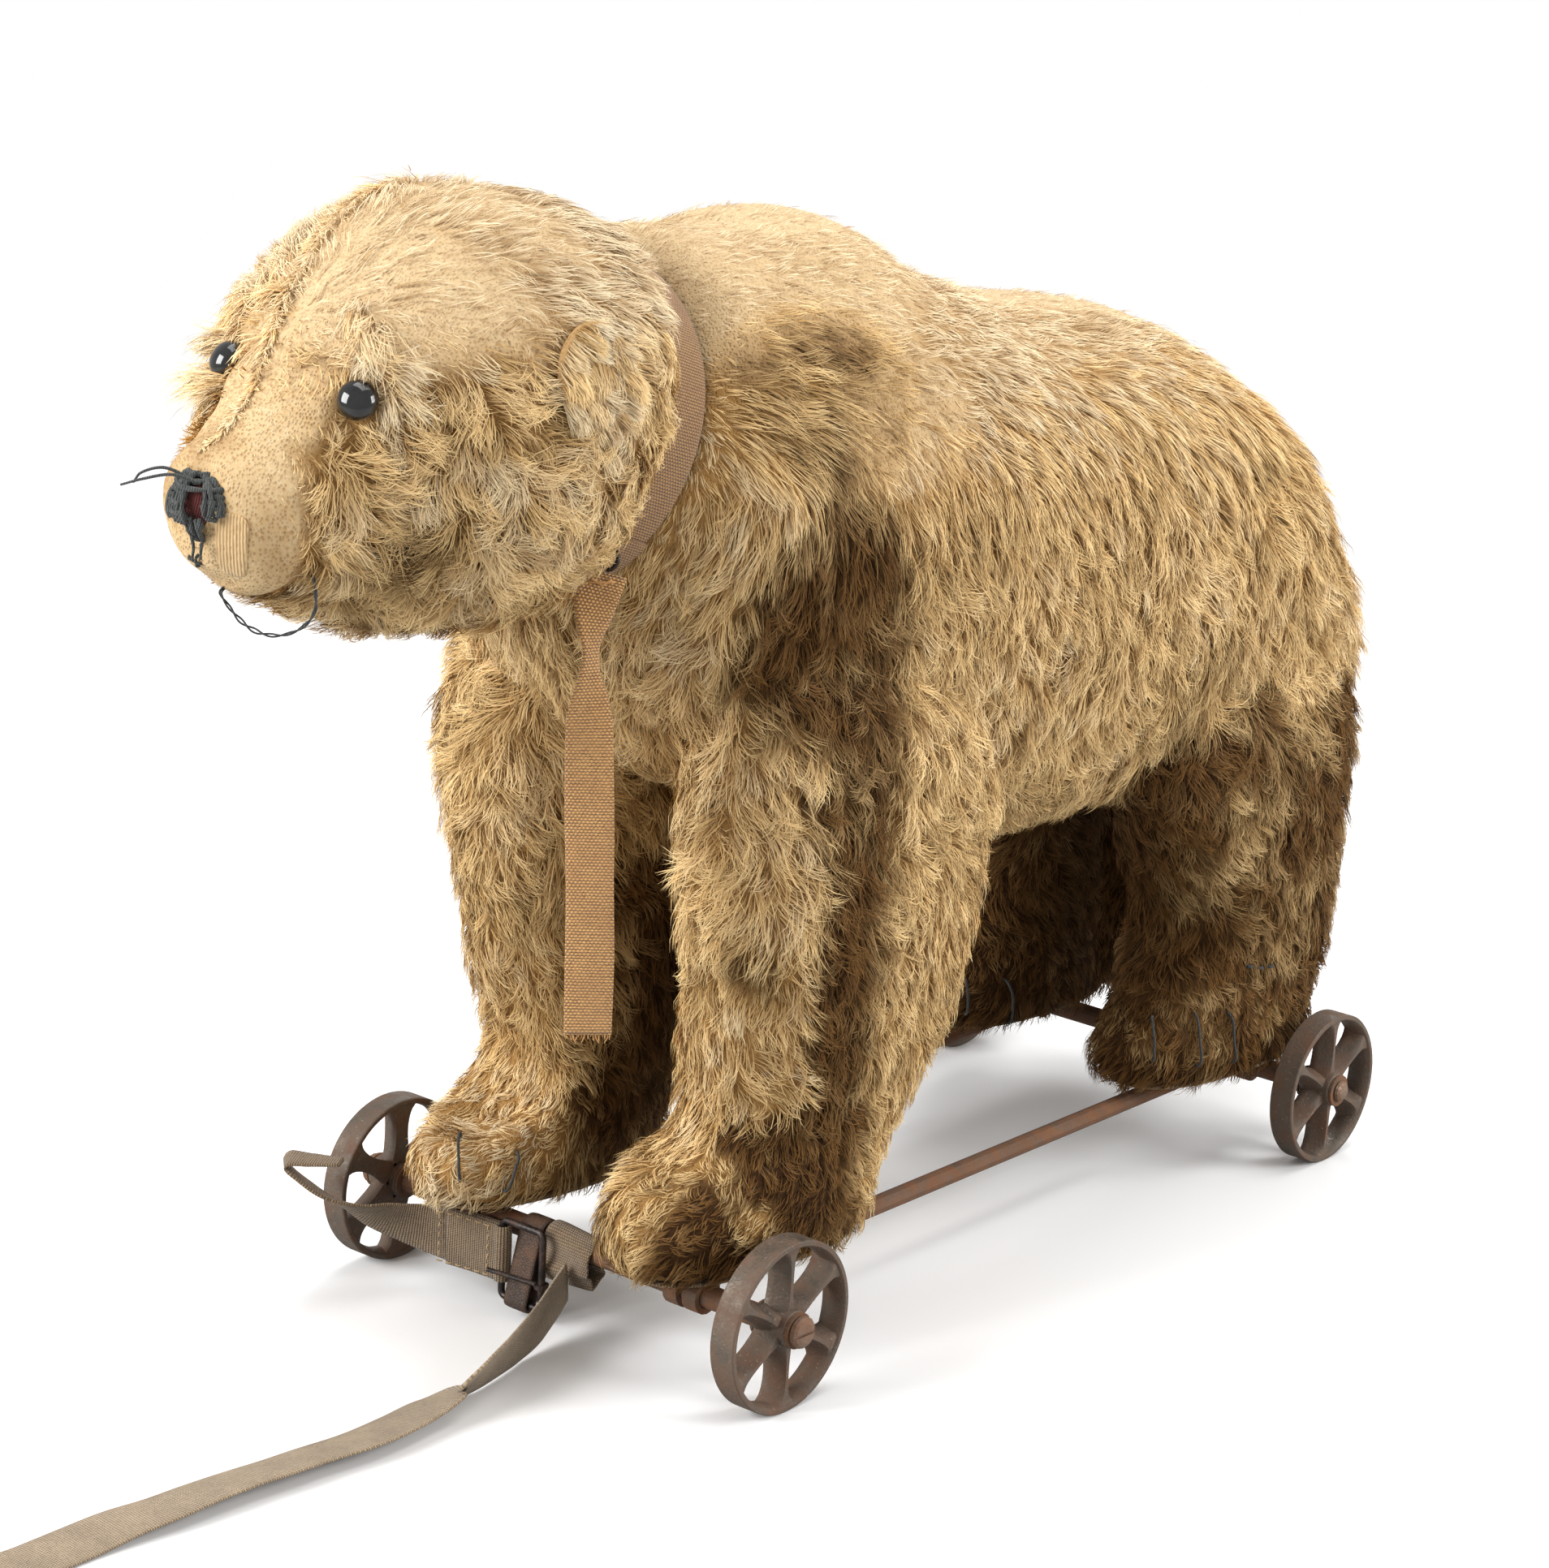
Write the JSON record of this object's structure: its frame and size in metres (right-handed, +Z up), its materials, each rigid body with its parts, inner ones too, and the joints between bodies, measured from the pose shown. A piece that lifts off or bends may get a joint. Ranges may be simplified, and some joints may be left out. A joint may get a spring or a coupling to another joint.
{
  "type": "bear on wheels",
  "caption": "Pull-along plush bear on a rod frame with cast spoked wheels, a turning head, a webbing collar, and a buckled strap and a pull strap on its front axle.",
  "frame": {"origin": "on the floor under the middle of the bear, midway from nose to rump and from side to side", "axes": "+Z up, the bear looks along -Y, its left side is +X, and the axles run along X"},
  "size_m": [0.2378, 0.9091, 0.4676],
  "materials": {
    "mohair": "worn straw-coloured plush",
    "wood_wool": "packed wood wool",
    "felt": "matte",
    "boot_button": "gloss",
    "nose_wool": "matte",
    "thread": "matte",
    "cast_iron": "brown, lightly rusted",
    "rusty_steel": "dull, rusted",
    "dark_steel": "satin",
    "card": "matte",
    "tape": "ribbed webbing",
    "khaki": "woven webbing",
    "leather": "worn"
  },
  "bodies": {
    "chassis": {"body_cover": "mohair", "body_stuffing": "wood_wool", "sole_front_left": "felt", "sole_front_right": "felt", "sole_rear_left": "felt", "sole_rear_right": "felt", "front_axle": "rusty_steel", "rear_axle": "rusty_steel", "side_rail_left": "rusty_steel", "side_rail_right": "rusty_steel", "leg_rod_front_left": "rusty_steel", "leg_rod_front_right": "rusty_steel", "leg_rod_rear_left": "rusty_steel", "leg_rod_rear_right": "rusty_steel", "inner_washer_front_left": "rusty_steel", "inner_washer_front_right": "rusty_steel", "inner_washer_rear_left": "rusty_steel", "inner_washer_rear_right": "rusty_steel", "outer_washer_front_left": "rusty_steel", "outer_washer_front_right": "rusty_steel", "outer_washer_rear_left": "rusty_steel", "outer_washer_rear_right": "rusty_steel", "axle_screw_front_left": "rusty_steel", "axle_screw_front_right": "rusty_steel", "axle_rivet_rear_left": "rusty_steel", "axle_rivet_rear_right": "rusty_steel", "neck_pin": "dark_steel", "neck_washer_body": "dark_steel", "collar_ring": "dark_steel", "buckle_frame": "dark_steel", "neck_disc_body": "card", "collar": "tape", "collar_tail": "tape", "pull_strap_loop": "khaki", "pull_strap": "khaki", "pull_strap_coil": "khaki", "buckle_strap": "khaki", "buckle_chape": "leather"},
    "wheel_front_left": {"wheel_front_left": "cast_iron"},
    "wheel_front_right": {"wheel_front_right": "cast_iron"},
    "wheel_rear_left": {"wheel_rear_left": "cast_iron"},
    "wheel_rear_right": {"wheel_rear_right": "cast_iron"},
    "head": {"head_cover": "mohair", "head_stuffing": "wood_wool", "ear_left": "mohair", "ear_right": "mohair", "eye_left": "boot_button", "eye_right": "boot_button", "nose_stitching": "nose_wool", "mouth_thread": "thread", "neck_disc_head": "card", "neck_washer_head": "dark_steel"},
    "prong": {"buckle_prong": "dark_steel"}
  },
  "joints": [
    {"name": "front_left_wheel_turn", "type": "hinge", "parent": "chassis", "child": "wheel_front_left", "pos_m": [0.10555, -0.13, 0.035], "axis": [1, 0, 0], "continuous": true},
    {"name": "front_right_wheel_turn", "type": "hinge", "parent": "chassis", "child": "wheel_front_right", "pos_m": [-0.10555, -0.13, 0.035], "axis": [1, 0, 0], "continuous": true},
    {"name": "rear_left_wheel_turn", "type": "hinge", "parent": "chassis", "child": "wheel_rear_left", "pos_m": [0.10555, 0.261, 0.035], "axis": [1, 0, 0], "continuous": true},
    {"name": "rear_right_wheel_turn", "type": "hinge", "parent": "chassis", "child": "wheel_rear_right", "pos_m": [-0.10555, 0.261, 0.035], "axis": [1, 0, 0], "continuous": true},
    {"name": "head_turn", "type": "hinge", "parent": "chassis", "child": "head", "pos_m": [0, -0.1625, 0.378], "axis": [0, -0.9455, 0.3256], "continuous": true},
    {"name": "prong_swing", "type": "hinge", "parent": "chassis", "child": "prong", "pos_m": [-0.0095, -0.141, 0.018], "axis": [0, 0, 1], "range_deg": [-1, 75]}
  ]
}
